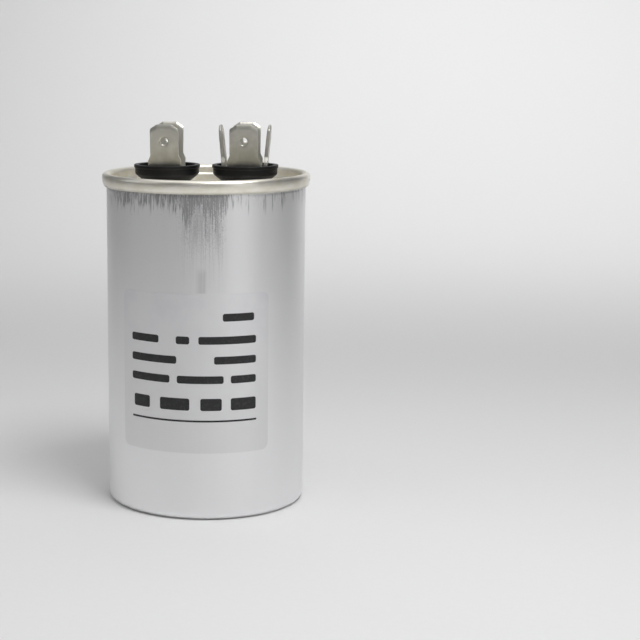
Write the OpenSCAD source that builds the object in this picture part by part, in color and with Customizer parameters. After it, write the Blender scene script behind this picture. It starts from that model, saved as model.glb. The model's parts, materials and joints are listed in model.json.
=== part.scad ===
// Motor run capacitor: a wound film capacitor in a round aluminium can, closed by a double-seamed lid.
// The origin is the centre of the base. +Z is up, the terminals lie along X and the label faces -Y.

/* [Can] */
// Outer diameter of the can
can_d = 45; // [40:0.5:60]
// Height from the base to the crest of the seam
can_h = 75; // [66:1:110]
// Wall thickness of the can
can_t = 0.45; // [0.35:0.05:0.6]
// Outer radius at the foot of the can
foot_r = 1.5; // [1:0.25:2.5]

/* [Lid and double seam] */
// Thickness of the lid sheet
lid_t = 0.28; // [0.24:0.02:0.34]
// Thickness of the can's flange where it is rolled into the seam
hook_t = 0.38; // [0.26:0.02:0.44]
// Room for the sealing compound between the flange and the lid
compound_t = 0.12; // [0.08:0.01:0.16]
// How far the seaming rolls press the can's wall in against the lid
neck_w = 0.1; // [0.06:0.02:0.16]
// Outer radius of the curve that draws the seam in to the can
seam_taper_r = 4.1; // [3.9:0.1:4.4]
// Depth of the lid panel below the crest
panel_depth = 4.8; // [4.4:0.1:6]
// Depth below the crest at which the seaming tool leaves its step
step_depth = 2.5; // [2.2:0.1:2.8]
// Width of that step
step_w = 0.3; // [0.2:0.05:0.5]
// Bend radius of that step
step_bend_r = 0.4; // [0.3:0.05:0.6]

/* [Terminals] */
// Distance between the two terminals
terminal_pitch = 17.7; // [17:0.1:20]
// Height of the lid's collar under a bush
collar_h = 1.7; // [1.5:0.1:2.2]
// Radius of the collar at its neck
neck_r = 3.55; // [3.5:0.05:3.8]
// How far the collar's bead stands out
bead_w = 0.4; // [0.2:0.05:0.5]
// Outer radius of the bush's body
bush_r = 7.25; // [7.2:0.05:7.6]
// Height of the bush's cone
bush_cone_h = 2.7; // [2.4:0.1:3.2]
// Height of the bush's upright wall, with its lip
bush_wall_h = 2.1; // [1.9:0.1:3]
// Wall thickness of the bush
bush_t = 0.85; // [0.6:0.05:0.95]
// How far the lip stands out
lip_w = 0.22; // [0.1:0.02:0.4]
// Height of the lip
lip_h = 0.6; // [0.4:0.1:0.9]

/* [Tabs] */
// Width of a blade
blade_w = 6.3; // [5.6:0.1:6.4]
// Thickness of the strip
tab_t = 0.8; // [0.6:0.05:0.85]
// Length of the blade from its shoulders to its tip
blade_len = 7; // [6:0.1:7.6]
// Width across the shoulders
shoulder_w = 7.4; // [7:0.1:7.6]
// Length of the slope from the shoulders to the blade
shoulder_h = 1.2; // [0.6:0.1:1.5]
// Length of a blade's root, from its bend to the shoulders
root_h = 2.16; // [1:0.02:3]
// Length of the roots on the right terminal's upper strip, which is folded shorter
upper_root_h = 0.94; // [0.2:0.02:2]
// Spread of each blade from upright, in degrees
blade_spread = 8.5; // [4:0.5:10]
// Spread of the blades of the right terminal's upper strip, in degrees
upper_spread = 5.5; // [4:0.5:10]
// Half the length of the strip's flat foot
foot_half = 3.66; // [3.5:0.02:3.7]
// Inner radius of the bends
bend_r = 0.6; // [0.4:0.05:0.7]
// Radius of the catch hole
catch_r = 0.85; // [0.6:0.05:1]
// Distance from the tip to the catch hole
catch_depth = 3.7; // [3.2:0.1:4.2]
// Width of a tip corner's slope
tip_corner_w = 1.5; // [1:0.1:2]
// Height of a tip corner's slope
tip_corner_h = 1; // [0.6:0.1:1.4]
// How far the tip's faces are bevelled
bevel = 0.22; // [0.1:0.02:0.3]

/* [Rivets, lugs and seals] */
// Radius of the rivet's shank
rivet_r = 1.5; // [1.2:0.1:1.7]
// Radius of the rivet's heads
rivet_head_r = 2.6; // [2.3:0.1:2.8]
// Height of each rivet head
rivet_head_h = 0.7; // [0.5:0.1:0.9]
// Wall thickness of the bush's sleeve
sleeve_t = 1.1; // [0.9:0.05:1.15]
// Thickness of the seal's flange
seal_t = 1; // [0.8:0.1:1.4]
// Thickness of a lug
lug_t = 0.5; // [0.4:0.1:0.8]
// Reach of a lug's tongue from the rivet to the wire hole
lug_reach = 5.6; // [5.2:0.1:5.8]

/* [Winding and leads] */
// Radius of the core tube's bore
core_bore_r = 3.2; // [2.6:0.1:3.4]
// Wall thickness of the core tube
core_t = 0.8; // [0.6:0.1:1]
// Thickness of each sprayed end
spray_t = 0.8; // [0.5:0.1:1.2]
// Thickness of the insulating wrap
wrap_t = 0.5; // [0.3:0.1:0.8]
// Floor and wall thickness of the base cup
cup_t = 0.8; // [0.6:0.1:1.2]
// Height of the base cup's wall
cup_h = 9; // [6:0.5:14]
// Height of the ribs and rims that keep the leads clear
spacer_h = 2; // [1.4:0.1:2.4]
// Room between the top disc and the lowest point under the lid
head_room = 3.4; // [3.4:0.1:4.5]
// Radius of the lead wire
wire_r = 0.4; // [0.3:0.05:0.5]
// Wall thickness of the lead's insulating sleeve
insulation_t = 0.4; // [0.3:0.05:0.6]
// Length of wire that is soldered to each sprayed end
solder_len = 7; // [4:0.5:8]

/* [Label] */
// Height of the label's lower edge above the base
label_z = 15.3; // [8:0.1:18]
// Height of the label
label_h = 35.3; // [20:0.1:40]
// Length of the label round the can
label_len = 35.6; // [25:0.1:60]
// Distance round the can from the front to the label's middle, towards the left terminal
label_shift = 1.2; // [0:0.1:4]
// Thickness of the film
label_t = 0.06; // [0.05:0.01:0.08]
// Radius of the label's corners
label_corner_r = 1.6; // [0.5:0.1:3]

/* [Hidden] */
$fn = 96;

// Clearance between sheets that are rolled or glued together
lap = 0.02;
// Clearance between round pieces that slip into each other
slip = 0.1;
// Length by which a cutter passes the face that it cuts
over = 1;

can_r = can_d / 2;
can_bore_r = can_r - can_t;

// Middle of each layer of the double seam, from the axis outwards
chuck_r = can_bore_r - neck_w - lap - lid_t / 2;
neck_mid_r = can_r - can_t / 2 - neck_w;
cover_hook_r = can_r - neck_w + lap + lid_t / 2;
body_hook_r = cover_hook_r + lid_t / 2 + lap + hook_t / 2;
seam_mid_r = body_hook_r + hook_t / 2 + compound_t + lid_t / 2;

// The lid's crest is half a circle, and the flange's bend lies below it with the compound between
crest_bend_r = (seam_mid_r - chuck_r) / 2;
crest_r = (seam_mid_r + chuck_r) / 2;
crest_z = can_h - crest_bend_r - lid_t / 2;
crest_gap = 0.2;
flange_bend_r = (body_hook_r - neck_mid_r) / 2;
flange_r = (body_hook_r + neck_mid_r) / 2;
flange_z = crest_z - crest_gap;

// The lid's outer layer draws in towards the can and then turns up inside the flange
taper_angle = 25;
taper_mid_r = seam_taper_r - lid_t / 2;
taper_drop = 0.18;
taper_z = crest_z - taper_drop;
curl_r = (seam_mid_r - cover_hook_r - taper_mid_r * (1 - cos(taper_angle))) / (1 + cos(taper_angle));
curl_z = taper_z - taper_mid_r * sin(taper_angle) + curl_r * sin(taper_angle);
body_hook_len = 0.75;
cover_hook_gap = 0.2;
cover_hook_end = flange_z - cover_hook_gap;

// The can's neck ends level with the lowest point of the seam
neck_bend_r = 1.5;
neck_end_z = curl_z - curl_r - lid_t / 2;
neck_z = neck_end_z - jog_rise(neck_w, neck_bend_r);

// Lid panel and collars
panel_z = can_h - panel_depth;
panel_mid_z = panel_z - lid_t / 2;
panel_corner_r = 0.8;
step_z = can_h - step_depth;
collar_top_z = panel_z + collar_h;
collar_mid_r = neck_r - lid_t / 2;
collar_foot_r = 0.3;
collar_bend_r = 0.3;
collar_flat = 0.6;
collar_lap = 0.2;
collar_reach = collar_mid_r + collar_foot_r + collar_flat;

// Bush, from the collar up
sleeve_bore_r = rivet_r + slip / 2;
sleeve_r = sleeve_bore_r + sleeve_t;
lid_hole_r = sleeve_r + slip;
bush_seat_margin = 0.05;
bush_seat_r = neck_r + bead_w + bush_seat_margin;
bush_floor_drop = 0.2;
bush_floor_z = collar_top_z + bush_cone_h - bush_floor_drop;
bush_top_z = collar_top_z + bush_cone_h + bush_wall_h;
bush_bore_r = bush_r - bush_t;

// Tab strips
tab_mid_bend_r = bend_r + tab_t / 2;
strip_w = 6;

// Stack under the lid, downwards
lid_under_z = panel_z - lid_t;
seal_z = lid_under_z - seal_t;
lug_z = seal_z - lug_t;
tail_z = lug_z - rivet_head_h;
lug_w = 3.2;
lug_ring_r = 3.1;
seal_hub_r = collar_mid_r - collar_bend_r;
seal_r = lug_reach - wire_r - 2 * slip;

// Winding and its packing, from the can's floor up
cup_floor_z = can_t + cup_t;
winding_foot_z = cup_floor_z + spacer_h;
core_r = core_bore_r + core_t;
cup_r = can_bore_r - slip;
wrap_r = cup_r - cup_t - slip;
wrap_bore_r = wrap_r - wrap_t;
winding_r = wrap_bore_r - slip;
disc_t = 1;
disc_z = tail_z - head_room;
winding_head_z = disc_z - disc_t - spacer_h;
spacer_rim_w = 2;
spacer_ring_r = 15;

// Leads
terminal_x = terminal_pitch / 2;
lead_x = terminal_x - lug_reach;
wire_bend_r = 1.4;
wire_stub = 0.4;
wire_end_z = lug_z + lug_t + wire_stub;
wire_jog_z = disc_z + 2 * slip + wire_bend_r;
tongue_hole_r = wire_r + slip;
insulation_bore_r = wire_r + lap;
insulation_r = insulation_bore_r + insulation_t;

label_mid_a = -90 - label_shift / can_r * 180 / PI;
label_span = label_len / can_r * 180 / PI;

// --- Profiles -----------------------------------------------------------------------------------

// A path is a list of points [radius, height, sheet's thickness, direction of travel in degrees].
// Arc about c of radius r, from angle a to angle b
function bend(c, r, a, b, t = 0, steps = 8) =
    [for (i = [0:steps]) let (w = a + (b - a) * i / steps)
        [c.x + r * cos(w), c.y + r * sin(w), t, w + sign(b - a) * 90]];

// All but the first point, which the stretch before already has
function rest(path) = [for (i = [1:len(path) - 1]) path[i]];

// Upright wall at radius x that moves out by w, or in when side is -1, as it climbs from z through two bends
function jog(x, z, w, r, t, side) =
    let (turn = acos(1 - w / (2 * r)), start = 90 + side * 90)
    concat(
        bend([x + side * r, z], r, start, start - side * turn, t, 4),
        rest(bend([x + side * (w - r), z + jog_rise(w, r)], r, 180 + start - side * turn, 180 + start, t, 4))
    );

function jog_rise(w, r) = 2 * r * sin(acos(1 - w / (2 * r)));

// The path moved sideways by half the sheet's thickness, to the left for side 1 and right for side -1
function skin(path, side) =
    [for (p = path) [p.x - side * sin(p[3]) * p.z / 2, p.y + side * cos(p[3]) * p.z / 2]];

function reversed(list) = [for (i = [len(list) - 1:-1:0]) list[i]];

function flat(path) = [for (p = path) [p.x, p.y]];

// Section of a sheet whose middle follows the path
module sheet(path) polygon(concat(skin(path, 1), reversed(skin(path, -1))));

// Bead of the collar between its foot and its top bend: out and back in one smooth wave
function bead(r, z0, z1, steps = 12) =
    [for (i = [1:steps - 1]) let (s = i / steps)
        [
            r + bead_w * (1 - cos(360 * s)) / 2,
            z0 + (z1 - z0) * s,
            lid_t,
            atan2(z1 - z0, bead_w * PI * sin(360 * s))
        ]];

// --- Helpers ------------------------------------------------------------------------------------

module ring(inner, outer, h) {
    difference() {
        cylinder(r = outer, h = h);
        translate([0, 0, -over]) cylinder(r = inner, h = h + 2 * over);
    }
}

module at_left() translate([-terminal_x, 0, 0]) children();
module at_right() translate([terminal_x, 0, 0]) children();

// --- Can, lid and seam --------------------------------------------------------------------------

module can() {
    mid_foot_r = foot_r - can_t / 2;
    color("#b9bbbe") rotate_extrude() sheet(concat(
        [[0, can_t / 2, can_t, 0]],
        bend([can_r - foot_r, foot_r], mid_foot_r, -90, 0, can_t),
        jog(can_r - can_t / 2, neck_z, neck_w, neck_bend_r, can_t, -1),
        flange_bend(),
        [[body_hook_r, flange_z - body_hook_len, hook_t, -90]]
    ));
}

// The flange turns over outwards and thins from the wall to the hook as it is rolled
function flange_bend(steps = 12) =
    [for (i = [0:steps]) let (w = 180 - 180 * i / steps)
        [
            flange_r + flange_bend_r * cos(w),
            flange_z + flange_bend_r * sin(w),
            can_t + (hook_t - can_t) * i / steps,
            w - 90
        ]];

module lid() {
    color("#cfcabb") {
        difference() {
            rotate_extrude() sheet(lid_path());
            for (side = [-1, 1])
                translate([side * terminal_x, 0, panel_z - lid_t - over])
                    cylinder(r = collar_reach - collar_lap, h = lid_t + 2 * over);
        }
        at_left() collar();
        at_right() collar();
    }
}

// From the middle of the panel out, up past the step, over the crest and round under the flange
function lid_path() = concat(
    [[0, panel_mid_z, lid_t, 0]],
    bend([chuck_r - step_w - panel_corner_r, panel_mid_z + panel_corner_r], panel_corner_r, -90, 0, lid_t),
    jog(chuck_r - step_w, step_z, step_w, step_bend_r, lid_t, 1),
    bend([crest_r, crest_z], crest_bend_r, 180, 0, lid_t, 16),
    bend([seam_mid_r - taper_mid_r, taper_z], taper_mid_r, 0, -taper_angle, lid_t, 6),
    rest(bend([cover_hook_r + curl_r, curl_z], curl_r, -taper_angle, -180, lid_t, 8)),
    [[cover_hook_r, cover_hook_end, lid_t, 90]]
);

// Drawn neck with a bead, open at the top for the bush's sleeve
module collar() {
    top_mid_z = collar_top_z - lid_t / 2;
    rotate_extrude() sheet(concat(
        [[collar_reach, panel_mid_z, lid_t, 180]],
        bend([collar_mid_r + collar_foot_r, panel_mid_z + collar_foot_r], collar_foot_r, -90, -180, lid_t, 5),
        bead(collar_mid_r, panel_mid_z + collar_foot_r, top_mid_z - collar_bend_r),
        bend([collar_mid_r - collar_bend_r, top_mid_z - collar_bend_r], collar_bend_r, 0, 90, lid_t, 5),
        [[lid_hole_r, top_mid_z, lid_t, 180]]
    ));
}

// Crescent that fills the seam between the lid's crest and the flange's bend
module seam_compound() {
    upper_r = crest_bend_r - lid_t / 2 - lap;
    lower_r = flange_bend_r + can_t / 2 + lap;
    upper = bend([crest_r, crest_z], upper_r, 30, 150);
    lower = bend([flange_r, flange_z], lower_r, 150, 30);
    color("#8c8a80") rotate_extrude() polygon(flat(concat(upper, lower)));
}

module label() {
    film_r = can_r + lap;
    corner_a = label_corner_r / can_r * 180 / PI;
    color("#d3d4d4") difference() {
        translate([0, 0, label_z])
            rotate([0, 0, label_mid_a - label_span / 2])
                rotate_extrude(angle = label_span)
                    translate([film_r, 0]) square([label_t, label_h]);
        for (side = [-1, 1], level = [0, 1])
            rotate([0, 0, label_mid_a + side * (label_span / 2 - corner_a)])
                translate([can_r, 0, label_z + label_corner_r + level * (label_h - 2 * label_corner_r)])
                    corner_cutter(side, level * 2 - 1);
    }
}

// What is left of a label's square corner outside its rounding, cut straight in towards the can's axis.
// The arc ends a hair inside the label's edges, so that it crosses them cleanly.
module corner_cutter(side, up) {
    arc = bend([0, 0], label_corner_r - lap, 0, 90);
    size = label_corner_r + over;
    translate([-over, 0, 0]) rotate([90, 0, 90]) linear_extrude(2 * over) polygon([
        for (p = concat(arc, [[0, size], [size, size], [size, 0]])) [side * p.x, up * p.y]
    ]);
}

// --- Terminals ----------------------------------------------------------------------------------

module bush() {
    edge = 0.15;
    wall_z = collar_top_z + bush_cone_h;
    lip_z = bush_top_z - lip_h;
    color("#1d1d20") rotate_extrude() polygon([
        [sleeve_bore_r, seal_z],
        [sleeve_r, seal_z],
        [sleeve_r, collar_top_z],
        [bush_seat_r, collar_top_z],
        [bush_r - edge, wall_z - edge],
        [bush_r, wall_z],
        [bush_r, lip_z - lip_w],
        [bush_r + lip_w, lip_z],
        [bush_r + lip_w, bush_top_z - edge],
        [bush_r + lip_w - edge, bush_top_z],
        [bush_bore_r + edge, bush_top_z],
        [bush_bore_r, bush_top_z - edge],
        [bush_bore_r, bush_floor_z + edge],
        [bush_bore_r - edge, bush_floor_z],
        [sleeve_bore_r, bush_floor_z]
    ]);
}

module bush_left() at_left() bush();
module bush_right() at_right() bush();

// Flat blade on a root that stands on z = 0. It reaches a hair below, into the bend that carries it.
module blade(root) {
    neck_z = root + shoulder_h;
    len = neck_z + blade_len;
    half = blade_w / 2;
    shoulder = shoulder_w / 2;
    tip_half = half - tip_corner_w;
    catch_z = len - catch_depth;
    difference() {
        translate([0, tab_t / 2, 0]) rotate([90, 0, 0]) linear_extrude(tab_t) polygon([
            [-shoulder, -lap],
            [shoulder, -lap],
            [shoulder, root],
            [half, neck_z],
            [half, len - tip_corner_h],
            [tip_half, len],
            [-tip_half, len],
            [-half, len - tip_corner_h],
            [-half, neck_z],
            [-shoulder, root]
        ]);
        translate([0, tab_t / 2 + over, catch_z]) rotate([90, 0, 0])
            cylinder(r = catch_r, h = tab_t + 2 * over);
        for (face = [0, 180]) rotate([0, 0, face]) {
            translate([0, tab_t / 2 - bevel - lap, catch_z]) rotate([-90, 0, 0])
                cylinder(r1 = catch_r - lap, r2 = catch_r + bevel + over, h = bevel + lap + over);
            tip_bevel([0, 0, len], 0, blade_w);
            for (side = [-1, 1])
                tip_bevel(
                    [side * (half - tip_corner_w / 2), 0, len - tip_corner_h / 2],
                    side * atan(tip_corner_h / tip_corner_w),
                    3 * tip_corner_w
                );
        }
    }
}

// Wedge that bevels the +Y face along an edge through p, which is turned by a about Y
module tip_bevel(p, a, length) {
    run = 3 * bevel;
    translate(p) rotate([0, a, 0]) translate([-length / 2, tab_t / 2, 0]) rotate([90, 0, 90])
        linear_extrude(length) polygon([[-bevel, 0], [0, -run], [over, -run], [over, over], [-bevel, over]]);
}

// Strip folded into a U with a blade at each end, on roots of that length. Its foot lies on z.
module double_tab(z, root, spread) {
    bend_turn = 90 - spread;
    root_y = foot_half + tab_mid_bend_r * sin(bend_turn);
    root_z = z + tab_t / 2 + tab_mid_bend_r * (1 - cos(bend_turn));
    color("#c9c6bc") {
        difference() {
            translate([-strip_w / 2, -foot_half, z]) cube([strip_w, 2 * foot_half, tab_t]);
            translate([0, 0, z - over]) cylinder(r = rivet_r + slip / 2, h = tab_t + 2 * over);
        }
        for (turn = [0, 180]) rotate([0, 0, turn]) {
            translate([-strip_w / 2, foot_half, z + tab_t + bend_r]) rotate([90, 0, 90])
                linear_extrude(strip_w)
                    sheet(bend([0, 0], tab_mid_bend_r, -90, -90 + bend_turn, tab_t));
            translate([0, root_y, root_z]) rotate([-spread, 0, 0]) blade(root);
        }
    }
}

module double_tab_left() at_left() double_tab(bush_floor_z, root_h, blade_spread);
module double_tab_right_lower() at_right() double_tab(bush_floor_z, root_h, blade_spread);
module double_tab_right_upper() at_right() rotate([0, 0, 90])
    double_tab(bush_floor_z + tab_t, upper_root_h, upper_spread);

// Rivet with a domed head on the strips and a flat tail under the lug
module rivet(strips) {
    head_z = bush_floor_z + strips * tab_t;
    dome = 0.35;
    color("#b8b4a8") rotate_extrude() polygon([
        [0, tail_z],
        [rivet_head_r - dome, tail_z],
        [rivet_head_r, tail_z + dome],
        [rivet_head_r, lug_z],
        [rivet_r, lug_z],
        [rivet_r, head_z],
        [rivet_head_r, head_z],
        [rivet_head_r, head_z + rivet_head_h - dome],
        [rivet_head_r - dome, head_z + rivet_head_h],
        [0, head_z + rivet_head_h]
    ]);
}

module rivet_left() at_left() rivet(1);
module rivet_right() at_right() rivet(2);

// Rubber grommet: a flange under the lid and a hub inside the collar, round the bush's sleeve
module seal() {
    color("#7d2f26") {
        translate([0, 0, seal_z]) ring(sleeve_r + lap, seal_r, seal_t);
        translate([0, 0, seal_z]) ring(sleeve_r + lap, seal_hub_r, collar_top_z - lid_t - seal_z);
    }
}

module seal_left() at_left() seal();
module seal_right() at_right() seal();

// Lug with its tongue along +X
module lug() {
    color("#c4bfb0") difference() {
        translate([0, 0, lug_z]) linear_extrude(lug_t) {
            circle(r = lug_ring_r);
            translate([0, -lug_w / 2]) square([lug_reach, lug_w]);
            translate([lug_reach, 0]) circle(r = lug_w / 2);
        }
        translate([0, 0, lug_z - over]) cylinder(r = rivet_r + slip / 2, h = lug_t + 2 * over);
        translate([lug_reach, 0, lug_z - over]) cylinder(r = tongue_hole_r, h = lug_t + 2 * over);
    }
}

module lug_left() at_left() lug();
module lug_right() at_right() mirror([1, 0, 0]) lug();

// --- Leads --------------------------------------------------------------------------------------

// Upright wire from z0 to z1
module wire_up(x, z0, z1) translate([x, 0, z0]) cylinder(r = wire_r, h = z1 - z0);

// Level wire from x0 to x1
module wire_along(x0, x1, z) translate([x0, 0, z]) rotate([0, 90, 0]) cylinder(r = wire_r, h = x1 - x0);

// Quarter bend in the XZ plane about [x, z], from angle a to a + 90
module wire_bend(x, z, a)
    translate([x, 0, z]) rotate([90, 0, 0]) rotate([0, 0, a])
        rotate_extrude(angle = 90) translate([wire_bend_r, 0]) circle(r = wire_r, $fn = 48);

// From the left lug straight down to the upper sprayed end, then outwards along it
module lead_left() {
    foot_z = winding_head_z + wire_r;
    color("#a8643c") {
        wire_up(-lead_x, foot_z + wire_bend_r, wire_end_z);
        wire_bend(-lead_x - wire_bend_r, foot_z + wire_bend_r, -90);
        wire_along(-lead_x - wire_bend_r - solder_len, -lead_x - wire_bend_r, foot_z);
    }
}

// From the right lug through a jog to the core, down its bore and outwards under the lower sprayed end
module lead_right() {
    foot_z = winding_foot_z - wire_r;
    color("#a8643c") {
        wire_up(lead_x, wire_jog_z + wire_bend_r, wire_end_z);
        wire_bend(lead_x - wire_bend_r, wire_jog_z + wire_bend_r, -90);
        wire_along(wire_bend_r, lead_x - wire_bend_r, wire_jog_z);
        wire_bend(wire_bend_r, wire_jog_z - wire_bend_r, 90);
        wire_up(0, foot_z + wire_bend_r, wire_jog_z - wire_bend_r);
        wire_bend(wire_bend_r, foot_z + wire_bend_r, 180);
        wire_along(wire_bend_r, wire_bend_r + core_r + solder_len, foot_z);
    }
}

module lead_sleeve() {
    start_z = winding_foot_z + wire_bend_r;
    color("#d8d2b8") translate([0, 0, start_z])
        ring(insulation_bore_r, insulation_r, wire_jog_z - wire_bend_r - start_z);
}

// --- Winding and packing ------------------------------------------------------------------------

module winding() {
    color("#c8c3b4") translate([0, 0, winding_foot_z + spray_t])
        ring(core_r + lap, winding_r, winding_head_z - winding_foot_z - 2 * spray_t);
}

module core_tube() {
    color("#e6e2d4") translate([0, 0, winding_foot_z])
        ring(core_bore_r, core_r, winding_head_z - winding_foot_z);
}

module end_spray_bottom() {
    color("#8f9296") translate([0, 0, winding_foot_z]) ring(core_r + lap, winding_r, spray_t);
}

module end_spray_top() {
    color("#8f9296") translate([0, 0, winding_head_z - spray_t]) ring(core_r + lap, winding_r, spray_t);
}

module wrap() {
    color("#e9e4cf") translate([0, 0, cup_floor_z]) ring(wrap_bore_r, wrap_r, disc_z - cup_floor_z);
}

// Cup on the can's floor, with a ring inside that holds the winding clear of the lead
module base_cup() {
    color("#d9d9d4") {
        translate([0, 0, can_t]) cylinder(r = cup_r - foot_r, h = cup_t);
        translate([0, 0, can_t + foot_r]) ring(wrap_r + slip, cup_r, cup_h - foot_r);
        rotate_extrude() polygon(concat(
            [[0, can_t], [0, cup_floor_z], [wrap_r + slip, cup_floor_z], [wrap_r + slip, can_t + foot_r]],
            flat(bend([cup_r - foot_r, can_t + foot_r], foot_r, 0, -90))
        ));
        translate([0, 0, cup_floor_z]) ring(spacer_ring_r - spacer_rim_w, spacer_ring_r, spacer_h);
    }
}

// Disc over the winding, on a rim, with a hole for each lead
module top_disc() {
    color("#d9d9d4") difference() {
        union() {
            translate([0, 0, disc_z - disc_t]) cylinder(r = wrap_bore_r - slip, h = disc_t);
            translate([0, 0, winding_head_z]) ring(winding_r - spacer_rim_w, winding_r, spacer_h);
        }
        translate([0, 0, disc_z - disc_t - over])
            cylinder(r = insulation_r + slip, h = disc_t + 2 * over);
        translate([-lead_x, 0, disc_z - disc_t - over])
            cylinder(r = wire_r + 2 * slip, h = disc_t + 2 * over);
    }
}

can();
lid();
seam_compound();
label();
bush_left();
bush_right();
rivet_left();
rivet_right();
double_tab_left();
double_tab_right_lower();
double_tab_right_upper();
seal_left();
seal_right();
lug_left();
lug_right();
lead_left();
lead_right();
lead_sleeve();
winding();
core_tube();
end_spray_top();
end_spray_bottom();
wrap();
base_cup();
top_disc();
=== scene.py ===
import json
import math

import bmesh
import bpy
import numpy as np
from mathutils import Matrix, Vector


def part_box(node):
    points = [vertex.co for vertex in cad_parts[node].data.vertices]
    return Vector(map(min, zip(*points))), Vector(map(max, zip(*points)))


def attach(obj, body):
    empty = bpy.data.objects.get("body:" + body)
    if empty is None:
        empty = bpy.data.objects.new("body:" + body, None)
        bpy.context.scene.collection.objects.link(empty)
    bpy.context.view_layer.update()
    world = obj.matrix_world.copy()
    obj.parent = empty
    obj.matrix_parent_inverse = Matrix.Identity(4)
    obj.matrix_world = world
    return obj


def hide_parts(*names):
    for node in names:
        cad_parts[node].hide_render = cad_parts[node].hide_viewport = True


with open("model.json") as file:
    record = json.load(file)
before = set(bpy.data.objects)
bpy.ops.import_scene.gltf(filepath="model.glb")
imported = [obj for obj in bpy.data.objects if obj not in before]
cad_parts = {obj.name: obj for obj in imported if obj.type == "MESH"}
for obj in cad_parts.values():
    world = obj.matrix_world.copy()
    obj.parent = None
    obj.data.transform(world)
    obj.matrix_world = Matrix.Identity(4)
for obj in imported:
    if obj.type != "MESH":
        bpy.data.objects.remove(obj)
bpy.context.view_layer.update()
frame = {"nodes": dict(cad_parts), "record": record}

MM = 0.001
TAU = 2 * math.pi

# ------------------------------------------------------------------------------------------------
# Sizes, in millimetres and degrees. What the frame holds is read from it, and the rest are named.
# ------------------------------------------------------------------------------------------------


def node_box(name):
    """Lowest and highest corner of a CAD node, in millimetres."""
    low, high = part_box(name)
    return np.array(low) / MM, np.array(high) / MM


MOUNTS = {mount["name"]: mount for mount in frame["record"]["mounts"]}
LID_HI = node_box("lid")[1]
LABEL_LO, LABEL_HI = node_box("label")
BUSH_LO, BUSH_HI = node_box("bush_left")
RIGHT_LO, RIGHT_HI = node_box("bush_right")
TAB_LO, TAB_HI = node_box("double_tab_left")
UPPER_HI = node_box("double_tab_right_upper")[1]
RIVET_LEFT_HI = node_box("rivet_left")[1]
RIVET_RIGHT_HI = node_box("rivet_right")[1]

# A turned surface stops this far from its axis. Neighbouring layers keep LAP between them.
AXIS_GAP = 0.02
LAP = 0.02
CAN_STEPS = 320
CUP_STEPS = 160
COLLAR_STEPS = 96
RIVET_STEPS = 72

CAN_R = MOUNTS["can_wall"]["dims"]["r_mm"]
CAN_T = 0.45
FOOT_R = 1.5
NECK_W = 0.1
NECK_BEND_R = 1.5
HOOK_T = 0.38
BODY_HOOK_LEN = 0.75

# The double seam: the lid's crest, its tapered outer layer and its curl run into each other at tangents.
LID_T = 0.28
CREST_Z = LID_HI[2]
SEAM_R = LID_HI[0] - LID_T / 2
NECK_R = CAN_R - CAN_T / 2 - NECK_W
CHUCK_R = CAN_R - CAN_T - NECK_W - LAP - LID_T / 2
COVER_HOOK_R = CAN_R - NECK_W + LAP + LID_T / 2
COVER_HOOK_DROP = 0.2
BODY_HOOK_R = COVER_HOOK_R + LID_T / 2 + LAP + HOOK_T / 2
CREST_BEND_R = (SEAM_R - CHUCK_R) / 2
CREST_BEND_Z = CREST_Z - CREST_BEND_R - LID_T / 2
FLANGE_DROP = 0.2
FLANGE_Z = CREST_BEND_Z - FLANGE_DROP
TAPER_DROP = 0.18
TAPER_R = 3.96
TAPER_ANGLE = 25
TAPER_Z = CREST_BEND_Z - TAPER_DROP
TAPER_FALL = 1 - math.cos(math.radians(TAPER_ANGLE))
CURL_R = (SEAM_R - COVER_HOOK_R - TAPER_R * TAPER_FALL) / (2 - TAPER_FALL)
CURL_Z = TAPER_Z - (TAPER_R - CURL_R) * math.sin(math.radians(TAPER_ANGLE))
SEAM_FOOT_Z = CURL_Z - CURL_R - LID_T / 2

PANEL_DEPTH = 4.8
PANEL_Z = CREST_Z - PANEL_DEPTH
PANEL_CORNER_R = 0.8
PANEL_LEAD = 0.4
STEP_DEPTH = 2.5
STEP_Z = CREST_Z - STEP_DEPTH
STEP_W = 0.3
STEP_BEND_R = 0.4

TERMINAL_X = (RIGHT_LO[0] + RIGHT_HI[0]) / 2
COLLAR_H = 1.7
COLLAR_TOP_Z = PANEL_Z + COLLAR_H
COLLAR_R = 3.41
COLLAR_BEND_R = 0.3
BEAD_W = 0.4
LID_HOLE_R = 2.75

BUSH_TOP_Z = BUSH_HI[2]
BUSH_FLOOR_Z = TAB_LO[2]
LIP_R = (BUSH_HI[0] - BUSH_LO[0]) / 2
LIP_W = 0.22
LIP_H = 0.6
BUSH_T = 0.85
BUSH_R = LIP_R - LIP_W
BUSH_BORE_R = BUSH_R - BUSH_T
CONE_H = 2.7
SEAT_LEDGE = 0.05
SLEEVE_R = 2.65
SLEEVE_BORE_R = 1.6

TAB_T = 0.8
BLADE_W = 6.3
BLADE_LEN = 7.0
SHOULDER_W = TAB_HI[0] - TAB_LO[0]
SHOULDER_H = 1.2
STRIP_W = 6.0
STRIP_EDGE_R = 0.1
SPREAD = 8.5
UPPER_SPREAD = 5.5
FOOT_HALF = 3.66
BEND_MID_R = 1.0
BEND_OVERLAP = 3
CATCH_R = 0.85
CATCH_DEPTH = 3.7
COUNTERSINK_W = 0.16
TIP_CORNER_W = 1.5
TIP_CORNER_H = 1.0
BEVEL = 0.22
BLADE_EDGE_R = 0.09
BLADE_POINT_GAP = 0.35

# Rings of a blade's surface: shares of the countersink's width with their depths, shares of the flat face,
# which lie closer towards its edge, and angles round the edge.
SINK_SHARES = np.array([0, 0.3, 1])
SINK_DEPTHS = np.array([0.14, 0.05, 0])
FACE_SHARES = np.array([0.12, 0.3, 0.5, 0.7, 0.82, 0.9, 0.96])
EDGE_ANGLES = np.radians([90, 60, 30, 0])

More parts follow.
